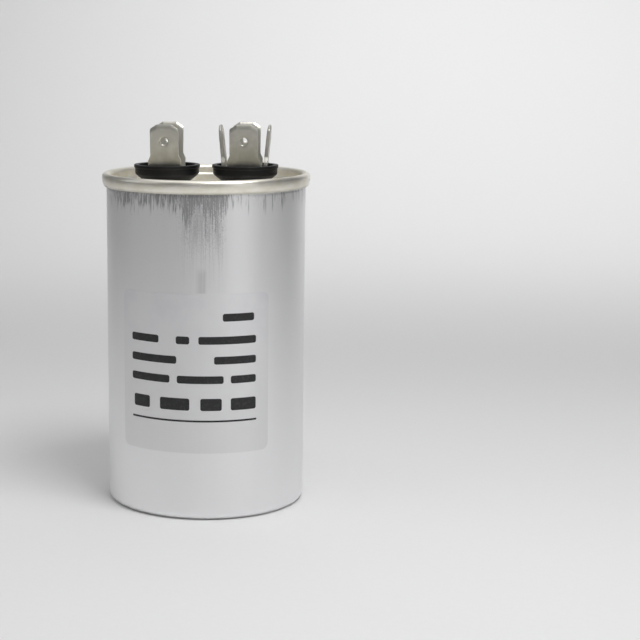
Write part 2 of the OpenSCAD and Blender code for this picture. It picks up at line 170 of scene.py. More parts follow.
LUG_T = 0.5
RIVET_SHANK_R = 1.5
RIVET_HEAD_R = 2.6
RIVET_TAIL_H = 0.7
RIVET_DISH = 0.12
RIVET_DISH_R = 0.9

LABEL_R = CAN_R + LAP
LABEL_T = 0.06
LABEL_LEN = 35.6
LABEL_SHIFT = -1.2
LABEL_CORNER_R = 1.6

# Rows of the print: the middle's height, the row's height, and each bar's ends along the label. Where a bar
# is thinner than its corners, they stop a sliver short of meeting.
INK_LIFT = 0.004
INK_T = 0.012
BAR_H = 1.7
BLOCK_H = 2.7
RULE_H = 0.42
BAR_CORNER_R = 0.45
SLIVER = 1e-4
PRINT_ROWS = [
    (45.4, BAR_H, [(5.6, 12.8)]),
    (40.4, BAR_H, [(-16.1, -8.8), (-4.7, -1.7), (0.3, 13.3)]),
    (36.0, BAR_H, [(-16.1, -4.6), (3.7, 13.3)]),
    (31.7, BAR_H, [(-16.1, -6.2), (-4.5, 5.8), (7.4, 13.3)]),
    (26.2, BLOCK_H, [(-15.5, -11.1), (-8.5, -1.7), (0.7, 5.4), (7.4, 13.3)]),
    (22.5, RULE_H, [(-16.1, 13.5)]),
]

# ------------------------------------------------------------------------------------------------
# Outlines: arrays of points in a plane
# ------------------------------------------------------------------------------------------------


def arc(centre, radius, start, end, steps):
    """Points centre + radius (cos a, sin a) for angles a from start to end, in degrees."""
    a = np.radians(np.linspace(start, end, steps + 1))
    return np.stack([centre[0] + radius * np.cos(a), centre[1] + radius * np.sin(a)], axis=1)


def jog(radius, z, width, bend_r, side):
    """Upright wall that moves sideways by width as it climbs from z: two tangent arcs of the same radius.

    It moves in where side is -1 and out where side is 1. Each arc turns by acos(1 - width / (2 bend_r)).
    """
    turn = math.degrees(math.acos(1 - width / (2 * bend_r)))
    rise = 2 * bend_r * math.sin(math.radians(turn))
    start = 90 + side * 90
    lower = arc((radius + side * bend_r, z), bend_r, start, start - side * turn, steps=6)
    upper_centre = (radius + side * (width - bend_r), z + rise)
    upper = arc(upper_centre, bend_r, 180 + start - side * turn, 180 + start, steps=6)
    return np.vstack([lower, upper[1:]])


def normals(path):
    """Unit normals of a path, a quarter turn left of its direction at each point."""
    ahead = np.vstack([path[1:], path[-1:]])
    behind = np.vstack([path[:1], path[:-1]])
    along = ahead - behind
    along /= np.linalg.norm(along, axis=1, keepdims=True)
    return np.stack([-along[:, 1], along[:, 0]], axis=1)


def sheet(path, thickness):
    """Closed outline of a sheet about its middle line: path plus and minus half the thickness sideways."""
    half = np.broadcast_to(np.asarray(thickness) / 2, len(path))[:, None]
    offset = half * normals(path)
    return np.vstack([path + offset, (path - offset)[::-1]])


# A turn below MIN_TURN, in radians, stays a point. A corner takes at most MAX_REACH of either side.
MIN_TURN = 0.01
MAX_REACH = 0.45


def rounded(corners, radii, steps=6):
    """Closed outline through corners, each replaced by a parabola that is tangent to both its sides.

    It leaves the sides where an arc of the corner's radius would: radius x tan(turn / 2) from the corner.
    """
    corners = np.asarray(corners, float)
    following = np.roll(corners, -1, axis=0)
    share = np.linspace(0, 1, steps + 1)[:, None]
    outline = []
    for i, (corner, radius) in enumerate(zip(corners, np.broadcast_to(radii, len(corners)))):
        back, on = corners[i - 1] - corner, following[i] - corner
        back_len, on_len = np.linalg.norm(back), np.linalg.norm(on)
        back, on = back / back_len, on / on_len
        turn = math.pi - math.acos(np.clip(back @ on, -1, 1))
        if radius <= 0 or turn < MIN_TURN:
            outline.append(corner[None])
            continue
        reach = min(radius * math.tan(turn / 2), MAX_REACH * back_len, MAX_REACH * on_len)
        start, end = corner + back * reach, corner + on * reach
        outline.append((1 - share) ** 2 * start + 2 * share * (1 - share) * corner + share**2 * end)
    return np.vstack(outline)


def spaced(outline, gap):
    """Closed outline with more points, evenly spaced: a side gets one for each whole gap in its length."""
    side = np.roll(outline, -1, axis=0) - outline
    counts = np.maximum(1, (np.linalg.norm(side, axis=1) / gap).astype(int))
    first = np.repeat(np.cumsum(counts) - counts, counts)
    share = (np.arange(counts.sum()) - first) / np.repeat(counts, counts)
    return np.repeat(outline, counts, axis=0) + np.repeat(side, counts, axis=0) * share[:, None]


# ------------------------------------------------------------------------------------------------
# Surfaces: arrays of vertices and faces, in millimetres
# ------------------------------------------------------------------------------------------------


def grid_faces(rows, columns, close_rows=False, close_columns=False):
    """Quads of a rows x columns grid of vertices, which may close on itself either way."""
    i = np.arange(rows if close_rows else rows - 1)
    j = np.arange(columns if close_columns else columns - 1)
    i, j = np.meshgrid(i, j, indexing="ij")
    i2, j2 = (i + 1) % rows, (j + 1) % columns
    quads = np.stack([i * columns + j, i2 * columns + j, i2 * columns + j2, i * columns + j2], axis=-1)
    return quads.reshape(-1, 4)


def revolve(outline, steps, x=0):
    """Closed outline of (radius, height) points turned about the upright axis at x."""
    a = np.linspace(0, TAU, steps, endpoint=False)
    r, z = outline[:, 0][:, None], outline[:, 1][:, None]
    across, depth = x + r * np.cos(a), r * np.sin(a)
    points = np.stack([across, depth, np.broadcast_to(z, across.shape)], axis=-1).reshape(-1, 3)
    return points, grid_faces(len(outline), steps, close_rows=True, close_columns=True)


def joined(*surfaces):
    """Several surfaces as one."""
    counts = [len(points) for points, faces in surfaces]
    bases = np.cumsum([0, *counts[:-1]])
    points = np.vstack([points for points, faces in surfaces])
    return points, np.vstack([faces + base for (_, faces), base in zip(surfaces, bases)])


def turned_z(surface, degrees, x=0):
    """The surface turned about Z and then moved along X."""
    points, faces = surface
    c, s = math.cos(math.radians(degrees)), math.sin(math.radians(degrees))
    turn = np.array([[c, s, 0], [-s, c, 0], [0, 0, 1]])
    return points @ turn + np.array([x, 0, 0]), faces


def wrapped_patch(middle, z, length, height, corner, inner, outer, across, up):
    """Thin solid on a cylinder about Z between radii inner and outer, with rounded corners.

    Rows run up from z. A row's half length is length / 2 less corner - sqrt(corner^2 - d^2), where d is how
    far the row lies into the corner's arc. Distance along the cylinder is measured on its outside from -Y.
    """
    a = np.linspace(0, math.pi / 2, num=9)
    low = corner * (1 - np.cos(a))
    straight = np.linspace(corner, height - corner, up + 2)[1:-1]
    levels = np.concatenate([low, straight, height - low[::-1]])
    into = np.clip(np.maximum(corner - levels, corner - (height - levels)), 0, corner)
    half = length / 2 - (corner - np.sqrt(np.clip(corner**2 - into**2, 0, None)))
    along = middle + np.linspace(-1, 1, across + 1)[None, :] * half[:, None]
    angle = along / outer - math.pi / 2
    level = np.broadcast_to((z + levels)[:, None], along.shape)
    unit = np.stack([np.cos(angle), np.sin(angle)], axis=-1)
    layers = [np.concatenate([r * unit, level[..., None]], axis=-1).reshape(-1, 3) for r in (outer, inner)]
    rows, columns = along.shape
    count = rows * columns
    front = grid_faces(rows, columns)[:, ::-1]
    index = np.arange(count).reshape(rows, columns)
    edge = np.concatenate([index[0], index[1:, -1], index[-1, -2::-1], index[-2:0:-1, 0]])
    following = np.roll(edge, -1)
    rim = np.stack([edge, edge + count, following + count, following], axis=1)
    return np.vstack(layers), np.vstack([front, front[:, ::-1] + count, rim])


# ------------------------------------------------------------------------------------------------
# Forms of the pieces
# ------------------------------------------------------------------------------------------------


def can_form():
    """The can's drawn sheet, turned about Z: base, foot arc, wall, neck, half circle of the flange, hook."""
    wall_r = CAN_R - CAN_T / 2
    neck_rise = 2 * NECK_BEND_R * math.sqrt(1 - (1 - NECK_W / (2 * NECK_BEND_R)) ** 2)
    neck_z = SEAM_FOOT_Z - neck_rise
    flange = arc(((NECK_R + BODY_HOOK_R) / 2, FLANGE_Z), (BODY_HOOK_R - NECK_R) / 2, 180, 0, steps=12)
    path = np.vstack([
        [[AXIS_GAP, CAN_T / 2]],
        arc((CAN_R - FOOT_R, FOOT_R), FOOT_R - CAN_T / 2, -90, 0, steps=12),
        np.linspace((wall_r, FOOT_R), (wall_r, neck_z), num=26)[1:-1],
        jog(wall_r, neck_z, NECK_W, NECK_BEND_R, -1),
        flange,
        [[BODY_HOOK_R, FLANGE_Z - BODY_HOOK_LEN]],
    ])
    thickness = np.full(len(path), CAN_T)
    thickness[-len(flange) - 1:-1] = np.linspace(CAN_T, HOOK_T, len(flange))
    thickness[-1] = HOOK_T
    return revolve(sheet(path, thickness), CAN_STEPS)


def lid_form():
    """The lid's drawn sheet, turned about Z: panel, corner, stepped wall, crest, taper, curl and hook."""
    mid_z = PANEL_Z - LID_T / 2
    corner_r = CHUCK_R - STEP_W - PANEL_CORNER_R
    path = np.vstack([
        np.linspace((AXIS_GAP, mid_z), (corner_r - PANEL_LEAD, mid_z), num=12),
        arc((corner_r, mid_z + PANEL_CORNER_R), PANEL_CORNER_R, -90, 0, steps=10),
        jog(CHUCK_R - STEP_W, STEP_Z, STEP_W, STEP_BEND_R, 1),
        arc(((SEAM_R + CHUCK_R) / 2, CREST_BEND_Z), CREST_BEND_R, 180, 0, steps=28),
        arc((SEAM_R - TAPER_R, TAPER_Z), TAPER_R, 0, -TAPER_ANGLE, steps=10),
        arc((COVER_HOOK_R + CURL_R, CURL_Z), CURL_R, -TAPER_ANGLE, -180, steps=10)[1:],
        [[COVER_HOOK_R, FLANGE_Z - COVER_HOOK_DROP]],
    ])
    return revolve(sheet(path, LID_T), CAN_STEPS)


def collar_form(x):
    """Drawn collar: a bend out of the panel, a bead that swells as 1 - cos, and a bend in to its hole."""
    low_z = PANEL_Z - LID_T / 2 + COLLAR_BEND_R
    top_z = COLLAR_TOP_Z - LID_T / 2
    high_z = top_z - COLLAR_BEND_R
    share = np.linspace(0, 1, num=18)[1:-1]
    bead_r = COLLAR_R + BEAD_W * (1 - np.cos(TAU * share)) / 2
    path = np.vstack([
        arc((COLLAR_R + COLLAR_BEND_R, low_z), COLLAR_BEND_R, -100, -180, steps=6),
        np.stack([bead_r, low_z + (high_z - low_z) * share], axis=1),
        arc((COLLAR_R - COLLAR_BEND_R, high_z), COLLAR_BEND_R, 0, 90, steps=6),
        [[LID_HOLE_R, top_z]],
    ])
    return revolve(sheet(path, LID_T), COLLAR_STEPS, x)


def bush_form(x):
    """Moulded terminal cup, turned about its axis: sleeve, seat, cone, wall, lip and bore.

    A row of its outline is a radius, a height and the radius of that edge.
    """
    seat_r = COLLAR_R + LID_T / 2 + BEAD_W + SEAT_LEDGE
    lip_z = BUSH_TOP_Z - LIP_H
    outline = np.array([
        [SLEEVE_BORE_R, BUSH_LO[2], 0],
        [SLEEVE_R, BUSH_LO[2], 0.05],
        [SLEEVE_R, COLLAR_TOP_Z, 0],
        [seat_r, COLLAR_TOP_Z, 0.15],
        [BUSH_R, COLLAR_TOP_Z + CONE_H, 0.7],
        [BUSH_R, lip_z - LIP_W, 0.15],
        [LIP_R, lip_z, 0.12],
        [LIP_R, BUSH_TOP_Z, 0.16],
        [BUSH_BORE_R, BUSH_TOP_Z, 0.22],
        [BUSH_BORE_R, BUSH_FLOOR_Z, 0.3],
        [SLEEVE_BORE_R, BUSH_FLOOR_Z, 0],
    ])
    return revolve(rounded(outline[:, :2], outline[:, 2]), CUP_STEPS, x)


def blade_outline(length):
    """Outline of a blade that stands on 0: wide shoulders at its root, straight sides and a cornered tip."""
    half, root = BLADE_W / 2, SHOULDER_W / 2
    neck_z, tip_z = length - BLADE_LEN, length - TIP_CORNER_H
    right = np.array([
        [root, 0, 0.1],
        [root, neck_z - SHOULDER_H, 0.35],
        [half, neck_z, 0.5],
        [half, tip_z, 0.5],
        [half - TIP_CORNER_W, length, 0.6],
    ])
    left = right[::-1] * [-1, 1, 1]
    corners = np.vstack([left[-1:], right, left[:-1]])
    return spaced(rounded(corners[:, :2], corners[:, 2], steps=5), BLADE_POINT_GAP)


def blade_face(points, length):
    """Distance of a blade's face from its middle plane: half the thickness, less the bevel at the tip.

    The bevel grows evenly, from nothing at 3 bevels from the tip's three edges to a full bevel on them.
    """
    across, up = np.abs(points[..., 0]), points[..., 1]
    slope = np.array([TIP_CORNER_H, TIP_CORNER_W]) / math.hypot(TIP_CORNER_H, TIP_CORNER_W)
    corner = slope @ [BLADE_W / 2, length - TIP_CORNER_H]
    to_edge = np.minimum(length - up, corner - (across * slope[0] + up * slope[1]))
    return TAB_T / 2 - BEVEL * np.clip(1 - to_edge / (3 * BEVEL), 0, 1)


def blade_form(length):
    """Blade standing on z = 0 in the XZ plane, as one closed surface with its catch hole.

    Spokes run from the hole to the outline. Along a spoke the surface goes over the countersink and the front
    face, round the edge, back over the back face and through the hole.
    """
    hole = np.array([0, length - CATCH_DEPTH])
    spoke = blade_outline(length) - hole
    reach = np.linalg.norm(spoke, axis=1)
    spoke /= reach[:, None]
    face_start, face_end = CATCH_R + COUNTERSINK_W, reach - BLADE_EDGE_R
    sink_r = np.broadcast_to((CATCH_R + COUNTERSINK_W * SINK_SHARES)[:, None], (len(SINK_SHARES), len(reach)))
    face_r = face_start + (face_end - face_start) * FACE_SHARES[:, None]
    edge_r = reach - BLADE_EDGE_R * (1 - np.cos(EDGE_ANGLES[:, None]))
    rim_r = np.broadcast_to(reach, edge_r.shape)
    flat = hole + spoke * np.vstack([sink_r, face_r, edge_r])[..., None]
    measured = hole + spoke * np.vstack([sink_r, face_r, rim_r])[..., None]
    edge_drop = BLADE_EDGE_R * (1 - np.sin(EDGE_ANGLES))
    sunk = np.concatenate([SINK_DEPTHS, 0 * FACE_SHARES, edge_drop])
    depth = blade_face(measured, length) - sunk[:, None]
    front = np.stack([flat[..., 0], -depth, flat[..., 1]], axis=-1)
    rings = np.concatenate([front, front[::-1] * [1, -1, 1]])
    faces = grid_faces(len(rings), len(reach), close_rows=True, close_columns=True)
    return rings.reshape(-1, 3), faces


def strip_foot(z, spread):
    """The strip's flat foot and both bends: a soft-edged rectangle carried along the foot's middle line."""
    mid_z = z + TAB_T / 2
    turn = 90 - spread + BEND_OVERLAP
    right = arc((FOOT_HALF, mid_z + BEND_MID_R), BEND_MID_R, -90, -90 + turn, steps=12)
    flat = np.linspace((-FOOT_HALF, mid_z), (FOOT_HALF, mid_z), num=9)[1:-1]
    path = np.vstack([right[::-1] * [-1, 1], flat, right])
    w, t = STRIP_W / 2, TAB_T / 2
    section = rounded([[-w, -t], [w, -t], [w, t], [-w, t]], STRIP_EDGE_R, steps=4)
    yz = path[:, None, :] + section[None, :, 1, None] * normals(path)[:, None, :]
    x = np.broadcast_to(section[None, :, 0], yz.shape[:2])
    points = np.concatenate([x[..., None], yz], axis=-1).reshape(-1, 3)
    count = len(section)
    k = np.arange(count // 2 - 1)
    cap = np.stack([k, k + 1, count - 2 - k, count - 1 - k], axis=1)
    last = len(points) - count
    return points, np.vstack([grid_faces(len(path), count, close_columns=True), cap, cap[:, ::-1] + last])


def double_tab_form(x, z, degrees, tip_z, spread):
    """Strip folded into a U: its foot on z, and two blades that lean out by spread and end at tip_z."""
    bend = math.radians(90 - spread)
    lean = math.radians(spread)
    root_y = FOOT_HALF + BEND_MID_R * math.sin(bend)
    root_z = z + TAB_T / 2 + BEND_MID_R * (1 - math.cos(bend))
    tip_rise = (TAB_T / 2 - BEVEL) * math.sin(lean)
    points, faces = blade_form((tip_z - tip_rise - root_z) / math.cos(lean))
    across, out, up = points.T
    leaning = np.stack([
        across,
        root_y + out * math.cos(lean) + up * math.sin(lean),
        root_z - out * math.sin(lean) + up * math.cos(lean),
    ], axis=1)
    blade = (leaning, faces)
    return turned_z(joined(blade, turned_z(blade, 180), strip_foot(z, spread)), degrees, x)


def rivet_form(x, strips, top):
    """Rivet, turned about its axis: tail, shank, and a dished head over its strips.

    A row of its outline is a radius, a height and the radius of that edge.
    """
    tail = BUSH_LO[2] - LUG_T
    head = BUSH_FLOOR_Z + strips * TAB_T
    outline = np.array([
        [AXIS_GAP, tail - RIVET_TAIL_H, 0],
        [RIVET_HEAD_R, tail - RIVET_TAIL_H, 0.25],
        [RIVET_HEAD_R, tail, 0.05],
        [RIVET_SHANK_R, tail, 0],
        [RIVET_SHANK_R, head, 0],
        [RIVET_HEAD_R, head, 0.08],
        [RIVET_HEAD_R, top - RIVET_DISH, 0.35],
        [RIVET_SHANK_R, top, 0.3],
        [RIVET_DISH_R, top - RIVET_DISH / 2, 0.2],
        [AXIS_GAP, top - RIVET_DISH, 0],
    ])
    return revolve(rounded(outline[:, :2], outline[:, 2]), RIVET_STEPS, x)


def label_form():
    """The label's film: a patch with rounded corners, wrapped on the can between the label's own heights."""
    place = (LABEL_SHIFT, LABEL_LO[2], LABEL_LEN, LABEL_HI[2] - LABEL_LO[2])
    return wrapped_patch(*place, LABEL_CORNER_R, LABEL_R, LABEL_R + LABEL_T, across=160, up=24)


def print_form():
    """The label's print: one thin wrapped patch for each bar, just off the film."""
    ink_r = LABEL_R + LABEL_T + INK_LIFT
    bars = []
    for middle_z, height, spans in PRINT_ROWS:
        corner = min(BAR_CORNER_R, height / 2 - SLIVER)
        for left, right in spans:
            place = ((left + right) / 2, middle_z - height / 2, right - left, height)
            bars.append(wrapped_patch(*place, corner, ink_r, ink_r + INK_T, across=24, up=4))
    return joined(*bars)


# ------------------------------------------------------------------------------------------------
# Shader expressions
# ------------------------------------------------------------------------------------------------


class Value:
    """An output of one of a finish's nodes. Arithmetic on it adds the Math nodes for the expression."""

    def __init__(self, finish, socket):
        self.finish = finish
        self.socket = socket

    def math(self, operation, *operands):
        """Math node with its operands in their order."""
        return self.finish.node("Math", {"operation": operation}, dict(enumerate(operands)))

    def __add__(self, other):
        return self.math("ADD", self, other)

    def __sub__(self, other):
        return self.math("SUBTRACT", self, other)

    def __rsub__(self, other):
        return self.math("SUBTRACT", other, self)

    def __mul__(self, other):
        return self.math("MULTIPLY", self, other)

    def __truediv__(self, other):
        return self.math("DIVIDE", self, other)

    def __rtruediv__(self, other):
        return self.math("DIVIDE", other, self)

    __radd__ = __add__
    __rmul__ = __mul__

    def between(self, low, high):
        """0 below low, 1 above high, and a smooth step from one to the other."""
        sockets = {"Value": self, "From Min": low, "From Max": high}
        return self.finish.node("MapRange", {"interpolation_type": "SMOOTHSTEP"}, sockets)


def plug(given, socket):
    """Link a value to a socket, or set the socket's own number, vector or colour."""
    if isinstance(given, Value):
        socket.id_data.links.new(given.socket, socket)
    elif socket.type == "RGBA":
        socket.default_value = (*given, 1)
    else:
        socket.default_value = given


def find_socket(sockets, key):
    """The socket with that index, or the one in use with that name."""
    if isinstance(key, int):
        return sockets[key]
    return next(socket for socket in sockets if socket.name == key and socket.enabled)


class Finish:
    """A material, and the nodes that make its varying sockets."""

    def __init__(self, name, **constants):
        self.material = bpy.data.materials.new(name)
        self.material.use_nodes = True
        self.shader = self.material.node_tree.nodes["Principled BSDF"]
        self.place = self.node("TexCoord", {}, {}, "Object")
        self.set(**constants)

    def set(self, **sockets):
        """Values or links for the shader's sockets, named with underscores for spaces."""
        for name, given in sockets.items():
            plug(given, self.shader.inputs[name.replace("_", " ")])

    def node(self, kind, settings, sockets, out=0):
        """A node of that kind: its settings are made first, and then its sockets are set or linked."""
        node = self.material.node_tree.nodes.new("ShaderNode" + kind)
        for name, setting in settings.items():
            setattr(node, name, setting)
        for key, given in sockets.items():
            plug(given, find_socket(node.inputs, key))
        return Value(self, find_socket(node.outputs, out))

    def noise(self, scale, detail, roughness, offset=0):
        """Noise from 0 to 1 with that many cells a metre along X, Y and Z."""
        shift = (offset, offset * 0.7, offset * 0.3)
        place = self.node("Mapping", {}, {"Vector": self.place, "Scale": scale, "Location": shift})
        sockets = {"Vector": place, "Scale": 1, "Detail": detail, "Roughness": roughness}
        return self.node("TexNoise", {}, sockets, "Fac")

    def mix(self, factor, low, high):
        """Colour that goes from low to high with factor."""
        return self.node("Mix", {"data_type": "RGBA"}, {"Factor": factor, "A": low, "B": high}, "Result")

    def axis(self, name):
        """The X, Y or Z of the place on the object, in millimetres."""
        return self.node("SeparateXYZ", {}, {"Vector": self.place}, name) * (1 / MM)

    def turn(self):
        """Angle round the can from its front, in degrees, growing towards +X."""
        sockets = {0: self.axis("X"), 1: self.axis("Y") * -1}
        return self.node("Math", {"operation": "ARCTAN2"}, sockets) * math.degrees(1)

    def bump(self, height, depth, strength):
        """Normals of a height map whose 0 to 1 is that many millimetres."""
        sockets = {"Strength": strength, "Distance": depth * MM, "Height": height}
        self.set(Normal=self.node("Bump", {}, sockets, "Normal"))


# ------------------------------------------------------------------------------------------------
# Finishes
# ------------------------------------------------------------------------------------------------


def scuffs(m):
    """How far the can is rubbed, from 0 to about 1: upright strokes that hang from the seam.

    They are closest and longest at the heart, just left of the front, and sparse on the side away from it.
    """
    turn = m.turn()
    drop = SEAM_FOOT_Z - m.axis("Z")
    rubbed_side = turn.between(-66, -50) * (1 - turn.between(12, 22))
    heart = turn.between(-16, -2) * (1 - turn.between(13, 18))
    grit = m.noise((5200, 5200, 2600), detail=2, roughness=0.6, offset=27)
    fine = m.noise((3600, 3600, 110), detail=3, roughness=0.6, offset=41)

    # The hatch: each stroke ends at its own reach, and is broken by clumps and grit.
    wave = m.noise((1500, 1500, 0), detail=3, roughness=0.7, offset=5).between(0.28, 0.74)
    reach = wave * (4.2 + heart * 6.0) + 1.6
    near = 1 - (drop / reach).between(0.2, 1.15)
    upright = m.noise((4200, 4200, 300), detail=3, roughness=0.6, offset=21).between(0.42, 0.66)
    clump = m.noise((1200, 1200, 200), detail=3, roughness=0.6, offset=24)
    cover = (clump + near * rubbed_side * 0.45).between(0.38, 0.86)
    hatch = (upright + near * 0.25) * cover * near.between(0.0, 0.80) * (0.5 + grit)

    # Single strokes all round, and black specks on the rubbed side.
    single = m.noise((1500, 1500, 90), detail=2, roughness=0.5, offset=51).between(0.60, 0.68)
    single = single * (1 - drop.between(2.5, 5.5))
    specks = grit.between(0.67, 0.74) * (1 - drop.between(4, 16)) * rubbed_side

    # Below the hatch at the heart: a fading haze, a faint trail, and a dull patch above the label.
    fading = heart * (1 - drop.between(6, 19))
    haze = fading * (fine * 0.4 + grit * 0.6 + fading * 0.12).between(0.44, 0.68)
    trail = heart * (1 - drop.between(14, 26)) * fine.between(0.35, 0.75)
    patch_side = turn.between(-1.5, 1.5) * (1 - turn.between(4, 6))
    patch = patch_side * drop.between(15, 17.5) * (1 - drop.between(21, 21.6)) * (0.6 + fine * 0.8)

    strokes = hatch * 1.40 + single * 0.7 + specks * 0.7
    marks = strokes + haze * 0.5 + trail * 0.16 + patch * 0.32
    return (marks.between(-0.2, 1.2) - 0.056) * 1.06


def drawn_aluminium():
    """Satin drawn can: faint upright lines and clouds, and dark scuffs that hang from the seam."""
    m = Finish("drawn_aluminium", Metallic=1.0)
    lines = m.noise((3000, 3000, 20), detail=3, roughness=0.55)
    bands = m.noise((240, 240, 6), detail=2, roughness=0.5, offset=7)
    cloud = m.noise((70, 70, 45), detail=3, roughness=0.5, offset=11)
    worn = scuffs(m)
    rubbed = (0.20, 0.195, 0.205)
    clean = m.mix(lines * 0.16 + bands * 0.30 + cloud * 0.30, (0.85, 0.85, 0.86), (0.92, 0.92, 0.93))
    m.set(Base_Color=m.mix(worn * 0.72, clean, rubbed))
    m.set(Roughness=0.36 + lines * 0.04 + cloud * 0.05 + worn * 0.10)
    m.bump(lines * 0.6 + worn * 0.4, depth=0.004, strength=0.3)
    return m.material


def rolled_tinplate():
    """Bright warm sheet of the lid and its seam: wavy from the rollers, duller within, with painted shade
    under its curl.
    """
    m = Finish("rolled_tinplate", Metallic=1.0)
    waves = m.noise((190, 190, 700), detail=2, roughness=0.5)
    scratches = m.noise((900, 900, 2600), detail=3, roughness=0.6, offset=5)
    stain = m.noise((260, 260, 500), detail=4, roughness=0.6, offset=9)
    radius_squared = m.axis("X") * m.axis("X") + m.axis("Y") * m.axis("Y")
    outside = radius_squared.between((CAN_R - 0.1) ** 2, (CAN_R + 0.4) ** 2)
    # Painted shade: the lowest band of the curl's outside, where the seam turns under, is darkened towards
    # the dark third colour below, mottled by the stain noise.
    curl = 1 - m.axis("Z").between(SEAM_FOOT_Z, SEAM_FOOT_Z + 0.75)
    curl_shade = curl * outside * (0.45 + stain * 0.5)
    bright, stained, curl_shade_colour = (0.90, 0.875, 0.80), (0.80, 0.76, 0.65), (0.42, 0.40, 0.34)
    tin = m.mix(stain.between(0.35, 0.75), bright, stained)
    m.set(Base_Color=m.mix(curl_shade, tin, curl_shade_colour))
    m.set(Roughness=0.24 + (1 - outside) * 0.16 + scratches * 0.09 + stain * 0.05)
    m.bump(waves * 0.85 + scratches * 0.15, depth=0.05, strength=0.35)
    return m.material


def black_moulding():
    """Glass-filled black plastic, greyed at the top of its lip as a painted highlight, and in random hazy
    patches.
    """
    m = Finish("black_moulding", Specular_IOR_Level=0.28)
    grain = m.noise((2200, 2200, 2200), detail=3, roughness=0.6)
    haze = m.noise((300, 300, 300), detail=3, roughness=0.55, offset=4)
    # Painted highlight: the top of the lip is mixed towards grey, and random haze adds lighter patches
    # elsewhere.
    lip = m.axis("Z").between(BUSH_TOP_Z - 0.35, BUSH_TOP_Z)
    lip_highlight_and_haze = (lip * 0.35 + haze.between(0.5, 0.85) * 0.2).between(0.0, 1.0)
    black, grey = (0.004, 0.004, 0.005), (0.030, 0.030, 0.032)
    m.set(Base_Color=m.mix(lip_highlight_and_haze, black, grey))
    m.set(Roughness=0.36 + grain * 0.16 + haze * 0.06)
    m.bump(grain, depth=0.02, strength=0.35)
    return m.material


def tinned_brass():
    """Dull tinned brass with fine rolling lines along the blade, and rubbed bright patches."""
    m = Finish("tinned_brass", Metallic=1.0)
    lines = m.noise((3200, 3200, 260), detail=3, roughness=0.6)
    patch = m.noise((420, 420, 320), detail=4, roughness=0.6, offset=3)
    speck = m.noise((5200, 5200, 5200), detail=2, roughness=0.6, offset=8)
    rubbed = patch.between(0.42, 0.7) * 0.5 + speck.between(0.62, 0.8) * 0.3
    dull, bright = (0.52, 0.51, 0.455), (0.70, 0.69, 0.64)
    m.set(Base_Color=m.mix(rubbed, dull, bright))
    m.set(Roughness=0.28 + lines * 0.10 + patch * 0.08)
    m.bump(lines * 0.6 + speck * 0.4, depth=0.012, strength=0.5)
    return m.material


def frosted_film():
    """Clear matt film over the metal: a grey satin veil, paler and faintly violet towards its top."""
    m = Finish("frosted_film", Metallic=0.95)
    cloud = m.noise((90, 90, 60), detail=3, roughness=0.5)
    grain = m.noise((2600, 2600, 2600), detail=2, roughness=0.6, offset=3)
    lines = m.noise((2600, 2600, 14), detail=3, roughness=0.6)
    tone = cloud * 0.35 + lines * 0.2 + grain * 0.1
    blotch = m.noise((130, 130, 110), detail=3, roughness=0.6, offset=13)
    height = m.axis("Z")
    middle = (LABEL_LO[2] + LABEL_HI[2]) / 2
    violet_share = height.between(middle, LABEL_HI[2]) * blotch.between(0.40, 0.66) * 0.4
    violet = (0.76, 0.76, 0.83)
    lower = m.mix(tone, (0.77, 0.77, 0.775), (0.86, 0.86, 0.865))
    upper = m.mix(tone, (0.83, 0.83, 0.84), (0.91, 0.91, 0.915))
    clear = m.mix(height.between(LABEL_LO[2], LABEL_HI[2]), lower, upper)
    m.set(Base_Color=m.mix(violet_share, clear, violet))
    m.set(Roughness=0.40 + grain * 0.08 + cloud * 0.04)
    m.bump(grain * 0.7 + lines * 0.3, depth=0.006, strength=0.4)
    return m.material


def label_ink():
    """Black screen ink, a little thinner in places."""
    m = Finish("label_ink")
    thin = m.noise((1500, 1500, 1500), detail=3, roughness=0.6)
    thick_ink, thin_ink = (0.012, 0.012, 0.013), (0.040, 0.040, 0.042)
    m.set(Base_Color=m.mix(thin.between(0.45, 0.85), thick_ink, thin_ink))
    m.set(Roughness=0.42 + thin * 0.14)
    m.bump(thin, depth=0.004, strength=0.4)
    return m.material


def plain_inner(name, dark, light, roughness, metallic):
    """Finish of a piece that the can hides: its colour, mottled, with a grain that moves its roughness."""
    m = Finish(name, Metallic=metallic)
    mottle = m.noise((320, 320, 320), detail=4, roughness=0.6)
    grain = m.noise((2400, 2400, 2400), detail=2, roughness=0.5, offset=6)
    m.set(Base_Color=m.mix(mottle, dark, light))
    m.set(Roughness=roughness - 0.08 + grain * 0.16)
    m.bump(grain, depth=0.02, strength=0.4)
    return m.material


def matt_card():
    """Plain pale matt table."""
    m = Finish("matt_card", Roughness=0.9, Specular_IOR_Level=0.2)
    tooth = m.noise((600, 600, 600), detail=2, roughness=0.5)
    m.set(Base_Color=m.mix(tooth, (0.79, 0.79, 0.79), (0.81, 0.81, 0.81)))
    return m.material


FINISHES = {
    "can_aluminium": drawn_aluminium(),
    "tinplate": rolled_tinplate(),
    "label_film": frosted_film(),
    "black_moulding": black_moulding(),
    "tinned_brass": tinned_brass(),
}

